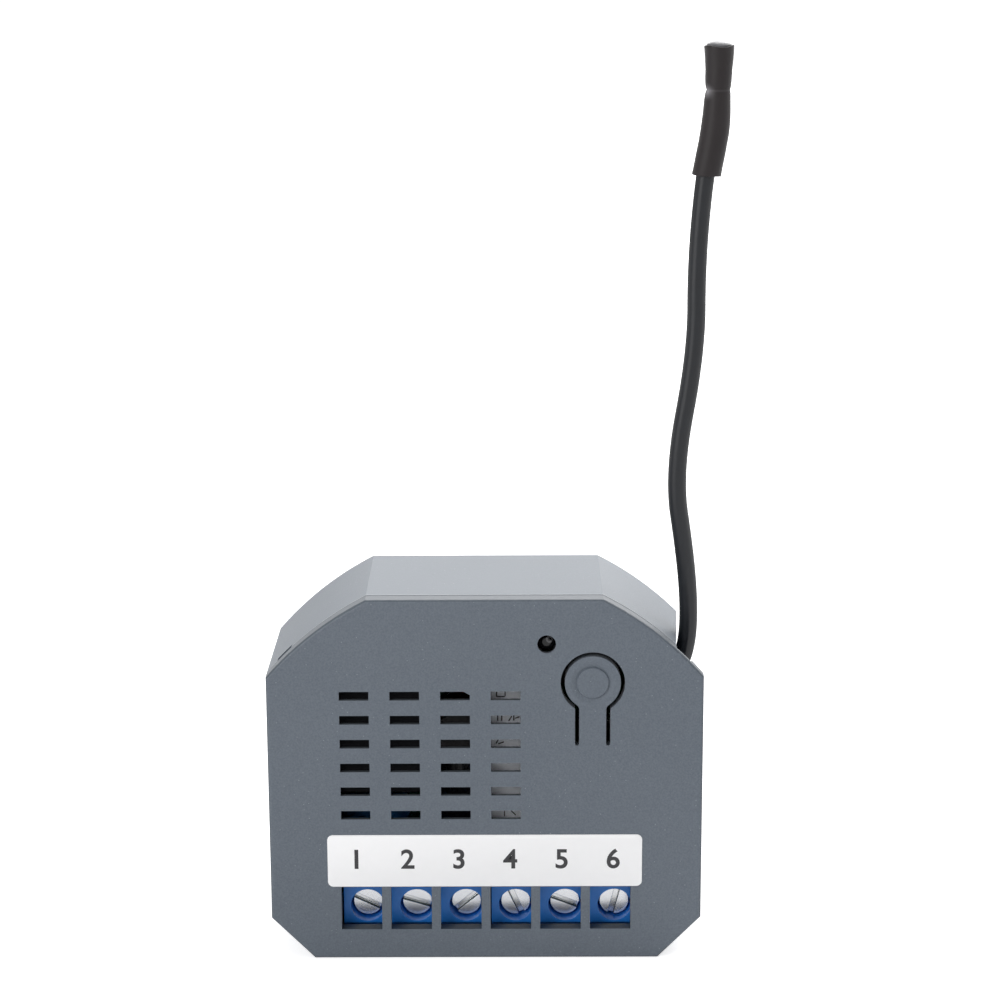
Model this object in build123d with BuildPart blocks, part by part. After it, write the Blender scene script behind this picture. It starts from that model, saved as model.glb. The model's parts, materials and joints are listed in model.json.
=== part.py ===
from build123d import *
import math
import os

# Smart relay module for a round wall box. It stands on its foot with the
# terminals at the bottom, the front cover towards -Y and the antenna upwards.
# Depths are measured from the front face of the cover towards the back.

os.makedirs("parts", exist_ok=True)

# Housing
width = 43.2
height = 37.75
depth = 17.0
wall = 1.3
back_wall = 1.3
top_width = 23.3
shoulder_drop = 7.95
shoulder_radius = 33.0
foot_margin = 4.6
foot_rise = 4.35
draft_angle = 0.7
edge_ease = 0.3
seam_ease = 0.1
overrun = 1.0
running_gap = 0.05
part_gap = 0.1

# Terminals
pole_pitch = 5.0
pole_count = 6
block_poles = 3
screw_offset = 0.49
screw_height = 4.83

# Front cover
cover_thickness = 1.3
seam_depth = 1.8
lip_depth = 3.0
lip_thickness = 0.8
lip_foot_height = 14.0
window_width = 4.09
window_foot = 3.15
window_head = 7.72
vent_columns = 4
vent_rows = 6
vent_pitch_x = 5.0
vent_pitch_z = 2.5
vent_width = 2.93
vent_height = 0.9
vent_centre_x = -5.445
vent_centre_z = 21.66
grille_thickness = 0.5
grille_margin = 0.8
clipped_corner_run = 0.62
clipped_corner_drop = 0.36
led_x = 6.1
led_drop = 4.53
led_hole_radius = 0.92
led_rim = 0.4
led_seat_radius = 1.4

# Snap hooks that hold the cover
hook_width = 3.0
hook_thickness = 0.9
hook_reach = 6.2
hook_barb = 0.4
hook_barb_length = 1.4
hook_gap = 0.2
top_hook_x = 6.5
side_hook_z = 17.0

# Button tongue
button_x = 10.65
button_drop = 8.55
keyhole_radius = 3.18
slit_width = 0.42
neck_ease = 0.25
arm_half_width = 1.33
arm_thickness = 0.9
arm_length = 6.31
dome_radius = 1.53
dish_radius = 2.2
dish_depth = 0.4
boss_radius = 0.9

# Label
label_margin = 1.48
label_height = 5.5
label_thickness = 0.1
label_corner = 0.55
label_x = -0.1
label_foot = 7.8

# Antenna notch in the right shoulder, and the slot for prising the cover off on the left one
notch_front_cut = 2.7
notch_back_cut = 1.75
notch_drop = 13.2
notch_hole_gap = 0.2
rim_relief_width = 1.5
prise_slot_length = 2.0
prise_slot_width = 0.8
prise_slot_inset = 1.0
prise_slot_shares = (0.167, 0.264)

# Main board
board_thickness = 1.2
board_clearance = 0.6
post_height = 2.0
post_size = 3.0
peg_radius = 0.7
peg_recess = 0.2
hole_gap = 0.1
side_post_inset = 3.6
side_post_gap = 0.5
left_post_x = -10.5
left_post_drop = 4.35
right_post_x = 12.6
right_post_drop = 3.75

# Terminal block
block_face = 2.2
block_foot = 1.45
block_height = 8.0
block_gap = 0.12
block_back_wall = 1.45
block_chamfer = 1.5
pole_groove = 0.3
well_radius = 1.7
head_face = 3.4
head_radius = 1.475
head_height = 1.3
slot_width = 0.6
slot_depth = 0.7
slot_angles = (-26, -17, 40, -66, -21, 76)
seat_floor = 0.5
shank_radius = 1.25
thread_pitch = 0.45

# Clamp cage, drawn open
cage_width = 3.6
cage_length = 3.6
cage_side = 0.5
nut_thickness = 1.0
cage_floor = 0.8
cage_gap = 0.15
entry_width = 3.2
entry_depth = 2.6
entry_funnel = 0.25
wire_window_width = 3.8
wire_window_depth = 3.4

# Contact bar inside each cage
bar_width = 2.2
bar_thickness = 0.6
leg_width = 1.0
leg_gap = 0.4
pin_reach = 1.1

# Relay
relay_left = 0.4
relay_switch_gap = 0.25
relay_block_gap = 0.85
relay_led_gap = 2.82
relay_face = 1.6
relay_ease = 0.5
relay_pin_width = 0.8
relay_pin_thickness = 0.5
relay_pin_inset = 1.6

# Power supply parts
converter_gap = 0.4
converter_fuse_gap = 0.5
converter_varistor_gap = 1.9
converter_drop = 7.15
converter_face = 3.2
converter_ease = 0.4
varistor_radius = 3.6
varistor_thickness = 3.4
varistor_x = -11.4
varistor_block_gap = 1.85
varistor_ease = 0.9
capacitor_radius = 2.6
capacitor_relay_gap = 0.4
capacitor_block_gap = 2.55
capacitor_choke_gap = 0.5
fuse_radius = 1.3
fuse_length = 7.6
fuse_wall_gap = 1.3
fuse_z = 21.0
choke_drop = 15.85
choke_relay_gap = 0.3
choke_flange_radius = 2.7
choke_neck_radius = 1.4
choke_flange = 0.6
choke_face = 4.4
winding_gap = 0.15
part_ease = 0.3

# Radio module
radio_relay_gap = 1.2
radio_wall_gap = 1.1
radio_block_gap = 1.15
radio_switch_gap = 1.6
radio_thickness = 0.8
shield_inset = 0.8
shield_height = 1.6
antenna_zone = 4.8

# Status light
led_radius = 0.85
led_ease = 0.4
led_cover_gap = 0.3
led_length = 3.3
led_flange_radius = 1.1
led_flange = 0.4
led_leg = 0.4
led_leg_spacing = 1.27

# Push switch under the button
switch_size = 6.0
switch_height = 3.5
plunger_radius = 1.7
plunger_face = 3.0
plunger_seat = 0.9
plunger_travel = 0.3

# Antenna: insulated wire, shrink sleeve and sealant
wire_radius = 0.92
sleeve_grip = 10.15
sleeve_overhang = 2.45
sleeve_lean = 0.2
sleeve_body_radius = 1.4
sleeve_body_share = 0.5
sleeve_waist_radius = 1.2
sleeve_waist_drop = 1.8
sleeve_mouth_radius = 1.5
sleeve_wall = 0.28
seal_radius = 1.1
seal_rise = 0.4
seal_ease = 0.4

front_y = -(depth - label_thickness) / 2
front = Plane(origin=(0, front_y, 0), x_dir=(1, 0, 0), z_dir=(0, -1, 0))
floor_plane = Plane.XY
screw_x = [screw_offset + (n - (pole_count - 1) / 2) * pole_pitch for n in range(pole_count)]

# Depths that follow from the sizes above
inner_back = depth - back_wall
board_back = inner_back - post_height
board_face = board_back - board_thickness
led_tip = led_rim + led_cover_gap
chamber_face = head_face + head_height + running_gap + seat_floor
chamber_back = board_face - block_back_wall
cage_metal = nut_thickness + bar_thickness + cage_floor
cage_travel = (chamber_back - chamber_face - cage_metal - 4 * part_gap) / 2
bar_face = chamber_face + part_gap + cage_travel + nut_thickness + part_gap
bar_back = bar_face + bar_thickness
cage_floor_face = bar_back + part_gap + cage_travel
cage_back = cage_floor_face + cage_floor
nut_face = bar_face - part_gap - nut_thickness
entry_centre = (bar_back + cage_floor_face) / 2
cage_foot = screw_height - cage_length / 2
cage_head = screw_height + cage_length / 2
leg_foot = cage_head + leg_gap

# Places that follow the housing's outline
foot_width = pole_count * pole_pitch + foot_margin
shoulder_run = (width - top_width) / 2
foot_run = (width - foot_width) / 2
label_width = pole_count * pole_pitch + label_margin
notch_front_x = width / 2 - notch_front_cut
notch_back_x = width / 2 - notch_back_cut
notch_floor = height - notch_drop
prise_slot_x = prise_slot_shares[0] * shoulder_run - width / 2
prise_slot_z = height - (1 - prise_slot_shares[1]) * shoulder_drop
led_z = height - led_drop
button_z = height - button_drop
arm_root_z = button_z - arm_length
side_post_x = width / 2 - side_post_inset
side_post_z = leg_foot + bar_thickness + side_post_gap + post_size / 2
post_places = [
    (-side_post_x, side_post_z),
    (side_post_x, side_post_z),
    (left_post_x, height - left_post_drop),
    (right_post_x, height - right_post_drop),
]
peg_places = post_places[1:3]

# Places on the board, each beside its neighbour
block_head = block_foot + block_height
relay_right = button_x - switch_size / 2 - relay_switch_gap
relay_width = relay_right - relay_left
relay_foot = block_head + relay_block_gap
relay_length = led_z - led_flange_radius - relay_led_gap - relay_foot
capacitor_x = relay_left - capacitor_relay_gap - capacitor_radius
capacitor_foot = block_head + capacitor_block_gap
choke_x = relay_left - choke_relay_gap - choke_flange_radius
choke_z = height - choke_drop
capacitor_length = choke_z - choke_flange_radius - capacitor_choke_gap - capacitor_foot
varistor_z = block_head + varistor_block_gap + varistor_thickness / 2
fuse_x = wall + fuse_wall_gap + fuse_radius - width / 2
converter_left = fuse_x + fuse_radius + converter_fuse_gap
converter_right = min(capacitor_x - capacitor_radius, choke_x - choke_flange_radius) - converter_gap
converter_width = converter_right - converter_left
converter_foot = varistor_z + varistor_thickness / 2 + converter_varistor_gap
converter_length = height - converter_drop - converter_foot
winding_radius = choke_flange_radius - winding_gap
radio_left = relay_right + radio_relay_gap
radio_width = width / 2 - wall - radio_wall_gap - radio_left
radio_foot = block_head + radio_block_gap
radio_head = min(button_z - switch_size / 2 - radio_switch_gap, notch_floor - wall - board_clearance)
radio_length = radio_head - radio_foot
shield_length = radio_length - antenna_zone


def behind(distance):
    """The plane at this depth behind the cover's face, with X across and Z up in the sketch."""
    return front.offset(-distance)


def y_at(distance):
    """The place along Y at this depth."""
    return front_y + distance


def outline(inset=0, below=0):
    """The housing's outline from the front: level foot, cut foot corners and bowed shoulders.
    The foot can run on below the floor, to be cut level again."""
    half = width / 2
    foot_x = half - foot_run - below * foot_run / foot_rise
    with BuildSketch() as shape:
        with BuildLine():
            Line((shoulder_run - half, height), (half - shoulder_run, height))
            RadiusArc((half - shoulder_run, height), (half, height - shoulder_drop), shoulder_radius)
            Polyline(
                (half, height - shoulder_drop),
                (half, foot_rise),
                (foot_x, -below),
                (-foot_x, -below),
                (-half, foot_rise),
                (-half, height - shoulder_drop),
            )
            RadiusArc((-half, height - shoulder_drop), (shoulder_run - half, height), shoulder_radius)
        make_face()
        if inset:
            offset(amount=-inset, kind=Kind.INTERSECTION)
    return shape.sketch


def notch_block(grow=0):
    """The space of the antenna notch, grown to the left and downwards for the walls around it."""
    with BuildPart() as block:
        with BuildSketch(floor_plane.offset(notch_floor - grow)):
            with BuildLine():
                Polyline(
                    (notch_front_x - grow, y_at(seam_depth)),
                    (notch_back_x - grow, y_at(depth)),
                    (width, y_at(depth)),
                    (width, y_at(seam_depth)),
                    close=True,
                )
            make_face()
        extrude(amount=height)
    return block.part


def finish(piece, name):
    """Labels a finished piece and writes its file."""
    piece.part.label = name
    export_step(piece.part, f"parts/{name}.step")


# Antenna route, from the solder point on the board, out through the notch wall
# and up to the sleeve. Each point is a place across, a depth and a height.
route = [
    (16.2, 12.45, 25.9),
    (16.4, 8.3, 26.0),
    (19.6, 7.9, 28.2),
    (20.35, 7.8, 31.2),
    (20.4, 7.5, 35.2),
    (20.0, 7.1, 40.4),
    (18.7, 6.7, 48.8),
    (20.84, 7.0, 61.0),
    (20.78, 7.5, 69.8),
    (21.48, 7.9, 78.4),
    (22.64, 8.1, 84.9),
    (22.64, 8.1, 88.2),
]
wire_end = route[-1]
sleeve_foot = wire_end[2] - sleeve_grip
sleeve_head = wire_end[2] + sleeve_overhang


def route_points():
    return [Vector(x, y_at(d), z) for x, d, z in route]


# Base housing: a cup with the back wall, moulded with draft
with BuildPart() as cavity:
    with BuildSketch(behind(seam_depth)):
        add(outline(inset=wall))
    extrude(amount=-(inner_back - seam_depth), taper=draft_angle)
    add(notch_block(grow=wall), mode=Mode.SUBTRACT)

with BuildPart() as base_housing:
    with BuildSketch(behind(seam_depth)):
        add(outline(below=overrun))
    extrude(amount=-(depth - seam_depth), taper=draft_angle)
    split(bisect_by=floor_plane, keep=Keep.TOP)
    chamfer(base_housing.faces().sort_by(Axis.Y)[-1].edges(), length=edge_ease)
    chamfer(base_housing.faces().sort_by(Axis.Y)[0].edges(), length=seam_ease)
    add(notch_block(), mode=Mode.SUBTRACT)
    add(cavity.part, mode=Mode.SUBTRACT)
    # Wire windows in the foot, one under each pole
    with BuildSketch(floor_plane):
        with Locations(*[(x, y_at(entry_centre)) for x in screw_x]):
            Rectangle(wire_window_width, wire_window_depth)
    extrude(amount=wall + overrun, mode=Mode.SUBTRACT)
    # Recesses for the cover's snap hooks
    recess_y = y_at(lip_depth + hook_reach - hook_barb_length / 2)
    inner_top = height - wall
    inner_side = width / 2 - wall
    with Locations(*[(x, recess_y, inner_top) for x in (-top_hook_x, top_hook_x)]):
        Box(hook_width + 2 * hook_gap, hook_barb_length + 2 * hook_gap, 2 * (hook_barb + hook_gap),
            mode=Mode.SUBTRACT)
    with Locations(*[(x, recess_y, side_hook_z) for x in (-inner_side, inner_side)]):
        Box(2 * (hook_barb + hook_gap), hook_barb_length + 2 * hook_gap, hook_width + 2 * hook_gap,
            mode=Mode.SUBTRACT)
    # Slot for prising the cover off, along the left shoulder at the seam
    with BuildSketch(behind(seam_depth)):
        with Locations((prise_slot_x, prise_slot_z)):
            Rectangle(prise_slot_length, 2 * prise_slot_inset, rotation=math.degrees(
                math.atan2(shoulder_drop, shoulder_run)))
    extrude(amount=-prise_slot_width, mode=Mode.SUBTRACT)
    # Hole in the notch wall where the antenna comes out, and a groove for it above the hole
    for start, end in zip(route_points()[1:3], route_points()[2:4]):
        with BuildSketch(Plane(origin=start, z_dir=end - start)):
            Circle(wire_radius + notch_hole_gap)
        extrude(amount=(end - start).length, mode=Mode.SUBTRACT)
    # Four posts for the board, two of them with a peg through it
    with BuildSketch(behind(inner_back)):
        with Locations(*post_places):
            Rectangle(post_size, post_size)
    extrude(amount=inner_back - board_back)
    with BuildSketch(behind(inner_back)):
        with Locations(*peg_places):
            Circle(peg_radius)
    extrude(amount=inner_back - board_face - peg_recess)
finish(base_housing, "base_housing")

# Front cover: a plate with a rim, vents, screw windows, the light hole and the keyhole slit
with BuildPart() as front_cover:
    with BuildSketch(front):
        add(outline())
    extrude(amount=-seam_depth)
    fillet(front_cover.faces().sort_by(Axis.Y)[0].edges(), radius=edge_ease)
    chamfer(front_cover.faces().sort_by(Axis.Y)[-1].edges(), length=seam_ease)
    with BuildSketch(behind(cover_thickness)):
        add(outline(inset=wall))
    extrude(amount=-(seam_depth - cover_thickness), mode=Mode.SUBTRACT)
    # The rim is thinned where the antenna passes behind it
    with BuildSketch(behind(cover_thickness)):
        with Locations((notch_front_x, notch_floor)):
            Rectangle(width, height, align=(Align.MIN, Align.MIN))
    extrude(amount=-overrun, mode=Mode.SUBTRACT)
    with BuildSketch(behind(cover_thickness / 2)):
        with Locations((notch_front_x, notch_floor)):
            Rectangle(rim_relief_width, height, align=(Align.MIN, Align.MIN))
    extrude(amount=-overrun, mode=Mode.SUBTRACT)
    # Lip that centres the cover in the base, left out along the terminals and the notch
    with BuildSketch(behind(cover_thickness)) as lip:
        add(outline(inset=wall + part_gap))
        add(outline(inset=wall + part_gap + lip_thickness), mode=Mode.SUBTRACT)
        with Locations((0, lip_foot_height)):
            Rectangle(width, height, align=(Align.CENTER, Align.MAX), mode=Mode.SUBTRACT)
        with Locations((notch_front_x - 2 * wall, notch_floor - 2 * wall)):
            Rectangle(width, height, align=(Align.MIN, Align.MIN), mode=Mode.SUBTRACT)
    extrude(amount=-(lip_depth - cover_thickness))
    # Snap hooks
    hook_y = y_at(cover_thickness + (hook_reach + lip_depth - cover_thickness) / 2)
    hook_run = hook_reach + lip_depth - cover_thickness
    barb_y = y_at(lip_depth + hook_reach - hook_barb_length / 2)
    hook_top = inner_top - hook_gap
    hook_side = inner_side - hook_gap
    with Locations(*[(x, hook_y, hook_top - hook_thickness / 2) for x in (-top_hook_x, top_hook_x)]):
        Box(hook_width, hook_run, hook_thickness)
    with Locations(*[(x, barb_y, hook_top) for x in (-top_hook_x, top_hook_x)]):
        Box(hook_width, hook_barb_length, 2 * hook_barb)
    for side in (-1, 1):
        with Locations((side * (hook_side - hook_thickness / 2), hook_y, side_hook_z)):
            Box(hook_thickness, hook_run, hook_width)
        with Locations((side * hook_side, barb_y, side_hook_z)):
            Box(2 * hook_barb, hook_barb_length, hook_width)
    # The grille is thinner than the plate round it
    with BuildSketch(behind(cover_thickness)):
        with Locations((vent_centre_x, vent_centre_z)):
            Rectangle((vent_columns - 1) * vent_pitch_x + vent_width + 2 * grille_margin,
                      (vent_rows - 1) * vent_pitch_z + vent_height + 2 * grille_margin)
    extrude(amount=cover_thickness - grille_thickness, mode=Mode.SUBTRACT)
    # Vents, and the corner that is closed on the third one of the top row
    with BuildSketch(front) as vents:
        with Locations((vent_centre_x, vent_centre_z)):
            with GridLocations(vent_pitch_x, vent_pitch_z, vent_columns, vent_rows):
                Rectangle(vent_width, vent_height)
        corner_x = vent_centre_x + vent_pitch_x / 2 + vent_width / 2
        corner_z = vent_centre_z + vent_pitch_z * (vent_rows - 1) / 2 + vent_height / 2
        with BuildLine():
            Polyline(
                (corner_x, corner_z),
                (corner_x - clipped_corner_run, corner_z),
                (corner_x, corner_z - clipped_corner_drop),
                close=True,
            )
        make_face(mode=Mode.SUBTRACT)
    extrude(amount=-cover_thickness, mode=Mode.SUBTRACT)
    # Screwdriver windows over the terminals
    window_x = [(n - (pole_count - 1) / 2) * pole_pitch for n in range(pole_count)]
    with BuildSketch(front):
        with Locations(*[(x, (window_foot + window_head) / 2) for x in window_x]):
            Rectangle(window_width, window_head - window_foot)
    extrude(amount=-cover_thickness, mode=Mode.SUBTRACT)
    with BuildSketch(front):
        with Locations((led_x, led_z)):
            Circle(led_hole_radius)
    extrude(amount=-cover_thickness, mode=Mode.SUBTRACT)
    with BuildSketch(behind(led_rim)):
        with Locations((led_x, led_z)):
            Circle(led_seat_radius)
    extrude(amount=-cover_thickness, mode=Mode.SUBTRACT)
    # Keyhole slit round the button tongue, with rounded ends
    slit_x = arm_half_width + slit_width / 2
    with BuildSketch(front) as keyhole:
        with Locations((button_x, button_z)):
            Circle(keyhole_radius)
        with Locations((button_x, arm_root_z)):
            Rectangle(2 * (arm_half_width + slit_width), button_z - arm_root_z,
                      align=(Align.CENTER, Align.MIN))
        fillet(keyhole.vertices().group_by(Axis.Y)[1], radius=neck_ease)
        with Locations((button_x - slit_x, arm_root_z), (button_x + slit_x, arm_root_z)):
            Circle(slit_width / 2)
    extrude(amount=-cover_thickness, mode=Mode.SUBTRACT)
finish(front_cover, "front_cover")

# Button tongue: round pad on a springy arm, with a boss that meets the switch
pad_radius = keyhole_radius - slit_width
boss_tip = plunger_face - running_gap
with BuildPart() as button_tongue:
    with BuildSketch(front) as tongue_shape:
        with Locations((button_x, button_z)):
            Circle(pad_radius)
        with Locations((button_x, arm_root_z + running_gap)):
            Rectangle(2 * arm_half_width, button_z - arm_root_z - running_gap,
                      align=(Align.CENTER, Align.MIN))
        fillet(tongue_shape.vertices().group_by(Axis.Y)[1], radius=neck_ease + slit_width)
    extrude(amount=-arm_thickness)
    with BuildSketch(behind(arm_thickness)):
        with Locations((button_x, button_z)):
            Circle(pad_radius)
    extrude(amount=-(cover_thickness - arm_thickness))
    # Dished ring that leaves a low dome in the middle of the pad
    with BuildSketch(Plane(origin=(button_x, front_y, button_z), x_dir=(1, 0, 0), z_dir=(0, 0, 1))):
        with BuildLine():
            Polyline((dome_radius, 0), (dish_radius, 0), (dome_radius, dish_depth), close=True)
        make_face()
    revolve(axis=Axis((button_x, 0, button_z), (0, 1, 0)), mode=Mode.SUBTRACT)
    with BuildSketch(behind(cover_thickness)):
        with Locations((button_x, button_z)):
            Circle(boss_radius)
    extrude(amount=-(boss_tip - cover_thickness))
finish(button_tongue, "button_tongue")

# Terminal label, a sticker on the cover
with BuildPart() as terminal_label:
    with BuildSketch(front):
        with Locations((label_x, label_foot + label_height / 2)):
            RectangleRounded(label_width, label_height, label_corner)
    extrude(amount=label_thickness)
finish(terminal_label, "terminal_label")

# Main board, cut away at the notch, with holes for the pegs, contacts and relay pins
relay_pins = [
    (relay_left + relay_pin_inset, relay_foot + relay_pin_inset),
    (relay_left + relay_width - relay_pin_inset, relay_foot + relay_pin_inset),
    (relay_left + relay_width / 2, relay_foot + relay_length / 2),
    (relay_left + relay_pin_inset, relay_foot + relay_length - relay_pin_inset),
    (relay_left + relay_width - relay_pin_inset, relay_foot + relay_length - relay_pin_inset),
]
with BuildPart() as main_board:
    with BuildSketch(behind(board_face)):
        add(outline(inset=wall + board_clearance))
    extrude(amount=-board_thickness)
    add(notch_block(grow=wall + board_clearance), mode=Mode.SUBTRACT)
    with BuildSketch(behind(board_face)):
        with Locations(*peg_places):
            Circle(peg_radius + hole_gap)
        with Locations(*[(x, leg_foot + bar_thickness / 2) for x in screw_x]):
            Rectangle(leg_width + 2 * hole_gap, bar_thickness + 2 * hole_gap)
        with Locations(*relay_pins):
            Rectangle(relay_pin_width + 2 * hole_gap, relay_pin_thickness + 2 * hole_gap)
    extrude(amount=-board_thickness, mode=Mode.SUBTRACT)
finish(main_board, "main_board")


def terminal_block(poles):
    """A three-pole block: wells for the screws, chambers for the cages, funnels for the wires."""
    centre_x = sum(poles) / len(poles)
    body_width = len(poles) * pole_pitch - block_gap
    with BuildPart() as block:
        with BuildSketch(behind(block_face)):
            with Locations((centre_x, block_foot + block_height / 2)):
                Rectangle(body_width, block_height)
        extrude(amount=-(board_face - block_face))
        front_edges = block.faces().sort_by(Axis.Y)[0].edges()
        chamfer(front_edges.sort_by(Axis.Z)[0], length=block_chamfer)
        # Grooves that mark the poles on the wire face
        with BuildSketch(floor_plane.offset(block_foot)):
            with Locations(*[(x + pole_pitch / 2, y_at(entry_centre)) for x in poles[:-1]]):
                Rectangle(pole_groove, depth)
        extrude(amount=pole_groove, mode=Mode.SUBTRACT)
        with BuildSketch(behind(block_face)):
            with Locations(*[(x, screw_height) for x in poles]):
                Circle(well_radius)
        extrude(amount=-(chamber_face - seat_floor - block_face), mode=Mode.SUBTRACT)
        with BuildSketch(behind(block_face)):
            with Locations(*[(x, screw_height) for x in poles]):
                Circle(shank_radius + part_gap)
        extrude(amount=-(chamber_face - block_face), mode=Mode.SUBTRACT)
        chamber_foot = cage_foot - part_gap
        chamber_head = leg_foot + bar_thickness + part_gap
        with BuildSketch(behind(chamber_face)):
            with Locations(*[(x, (chamber_foot + chamber_head) / 2) for x in poles]):
                Rectangle(cage_width + 2 * cage_gap, chamber_head - chamber_foot)
        extrude(amount=-(chamber_back - chamber_face), mode=Mode.SUBTRACT)
        # The contact's leg leaves through the chamber's back wall
        with BuildSketch(behind(chamber_back)):
            with Locations(*[(x, leg_foot + bar_thickness / 2) for x in poles]):
                Rectangle(leg_width + 2 * hole_gap, bar_thickness + 2 * hole_gap)
        extrude(amount=-(board_face - chamber_back), mode=Mode.SUBTRACT)
        with BuildSketch(floor_plane.offset(block_foot)):
            with Locations(*[(x, y_at(entry_centre)) for x in poles]):
                Rectangle(entry_width, entry_depth)
        extrude(amount=chamber_foot - block_foot, mode=Mode.SUBTRACT)
        mouths = block.edges().filter_by_position(Axis.Z, block_foot, block_foot)
        mouths = mouths.filter_by(
            lambda edge: any(abs(edge.center().X - x) <= entry_width / 2 for x in poles)
            and abs(edge.center().Y - y_at(entry_centre)) <= entry_depth / 2
        )
        chamfer(mouths, length=entry_funnel)
    return block


finish(terminal_block(screw_x[:block_poles]), "terminal_block_left")
finish(terminal_block(screw_x[block_poles:]), "terminal_block_right")

for number, (x, slot_angle) in enumerate(zip(screw_x, slot_angles), start=1):
    # Slotted screw, held in the block so that it only turns
    with BuildPart() as terminal_screw:
        with BuildSketch(behind(head_face)):
            with Locations((x, screw_height)):
                Circle(head_radius)
        extrude(amount=-head_height)
        with BuildSketch(behind(head_face)):
            with Locations((x, screw_height)):
                Rectangle(2 * head_radius + overrun, slot_width, rotation=slot_angle)
        extrude(amount=-slot_depth, mode=Mode.SUBTRACT)
        with BuildSketch(behind(head_face + head_height)):
            with Locations((x, screw_height)):
                Circle(shank_radius)
        extrude(amount=-(bar_face - running_gap - head_face - head_height))
    finish(terminal_screw, f"terminal_screw_{number}")

    # Cage that the screw draws up against the contact bar; its nut is the front wall
    with BuildPart() as clamp_cage:
        with BuildSketch(floor_plane.offset(cage_foot)):
            with Locations((x, y_at((nut_face + cage_back) / 2))):
                Rectangle(cage_width, cage_back - nut_face)
            with Locations((x, y_at((bar_face - part_gap + cage_floor_face) / 2))):
                Rectangle(cage_width - 2 * cage_side, cage_floor_face - bar_face + part_gap,
                          mode=Mode.SUBTRACT)
        extrude(amount=cage_length)
        with BuildSketch(behind(nut_face)):
            with Locations((x, screw_height)):
                Circle(shank_radius + running_gap)
        extrude(amount=-nut_thickness, mode=Mode.SUBTRACT)
    finish(clamp_cage, f"clamp_cage_{number}")

    # Fixed contact: a bar through the cage and a leg down to the board
    with BuildPart() as terminal_contact:
        with BuildSketch(behind(bar_face)):
            with Locations((x, cage_foot)):
                Rectangle(bar_width, leg_foot + bar_thickness - cage_foot,
                          align=(Align.CENTER, Align.MIN))
        extrude(amount=-bar_thickness)
        with BuildSketch(behind(bar_face)):
            with Locations((x, leg_foot)):
                Rectangle(leg_width, bar_thickness, align=(Align.CENTER, Align.MIN))
        extrude(amount=-(board_back + pin_reach - bar_face))
    finish(terminal_contact, f"terminal_contact_{number}")

# Power relay with its pins
with BuildPart() as power_relay:
    with BuildSketch(behind(relay_face)):
        with Locations((relay_left + relay_width / 2, relay_foot + relay_length / 2)):
            Rectangle(relay_width, relay_length)
    extrude(amount=-(board_face - relay_face))
    fillet(power_relay.edges().filter_by(Axis.Y), radius=relay_ease)
    chamfer(power_relay.faces().sort_by(Axis.Y)[0].edges(), length=relay_ease / 2)
    with BuildSketch(behind(board_face)):
        with Locations(*relay_pins):
            Rectangle(relay_pin_width, relay_pin_thickness)
    extrude(amount=-(board_thickness + pin_reach))
finish(power_relay, "power_relay")

# Potted power converter
with BuildPart() as power_converter:
    with BuildSketch(behind(converter_face)):
        with Locations((converter_left + converter_width / 2, converter_foot + converter_length / 2)):
            Rectangle(converter_width, converter_length)
    extrude(amount=-(board_face - converter_face))
    fillet(power_converter.edges().filter_by(Axis.Y), radius=converter_ease)
finish(power_converter, "power_converter")

# Surge varistor, a coated disc on edge
with BuildPart() as surge_varistor:
    with BuildSketch(floor_plane.offset(varistor_z - varistor_thickness / 2)):
        with Locations((varistor_x, y_at(board_face - part_gap - varistor_radius))):
            Circle(varistor_radius)
    extrude(amount=varistor_thickness)
    chamfer(surge_varistor.edges().filter_by(GeomType.CIRCLE), length=varistor_ease)
finish(surge_varistor, "surge_varistor")

# Filter capacitor lying on the board
capacitor_y = y_at(board_face - part_gap - capacitor_radius)
with BuildPart() as filter_capacitor:
    with BuildSketch(floor_plane.offset(capacitor_foot)):
        with Locations((capacitor_x, capacitor_y)):
            Circle(capacitor_radius)
    extrude(amount=capacitor_length)
    chamfer(filter_capacitor.edges().filter_by(GeomType.CIRCLE), length=part_ease)
finish(filter_capacitor, "filter_capacitor")

# Fuse resistor standing on the board
with BuildPart() as fuse_resistor:
    with BuildSketch(behind(board_face - part_gap)):
        with Locations((fuse_x, fuse_z)):
            Circle(fuse_radius)
    extrude(amount=fuse_length)
finish(fuse_resistor, "fuse_resistor")

# Filter choke: a ferrite drum with its winding between the flanges
choke_height = board_face - choke_face
with BuildPart() as choke_core:
    with BuildSketch(behind(choke_face)):
        with Locations((choke_x, choke_z)):
            Circle(choke_flange_radius)
    extrude(amount=-choke_height)
    with BuildSketch(behind(choke_face + choke_flange)):
        with Locations((choke_x, choke_z)):
            Circle(choke_flange_radius + overrun)
            Circle(choke_neck_radius, mode=Mode.SUBTRACT)
    extrude(amount=-(choke_height - 2 * choke_flange), mode=Mode.SUBTRACT)
finish(choke_core, "choke_core")

with BuildPart() as choke_winding:
    with BuildSketch(behind(choke_face + choke_flange + running_gap)):
        with Locations((choke_x, choke_z)):
            Circle(winding_radius)
            Circle(choke_neck_radius + running_gap, mode=Mode.SUBTRACT)
    extrude(amount=-(choke_height - 2 * choke_flange - 2 * running_gap))
finish(choke_winding, "choke_winding")

# Radio module: a small board with a metal shield can
with BuildPart() as radio_module:
    with BuildSketch(behind(board_face - radio_thickness)):
        with Locations((radio_left + radio_width / 2, radio_foot + radio_length / 2)):
            Rectangle(radio_width, radio_length)
    extrude(amount=-radio_thickness)
finish(radio_module, "radio_module")

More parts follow.
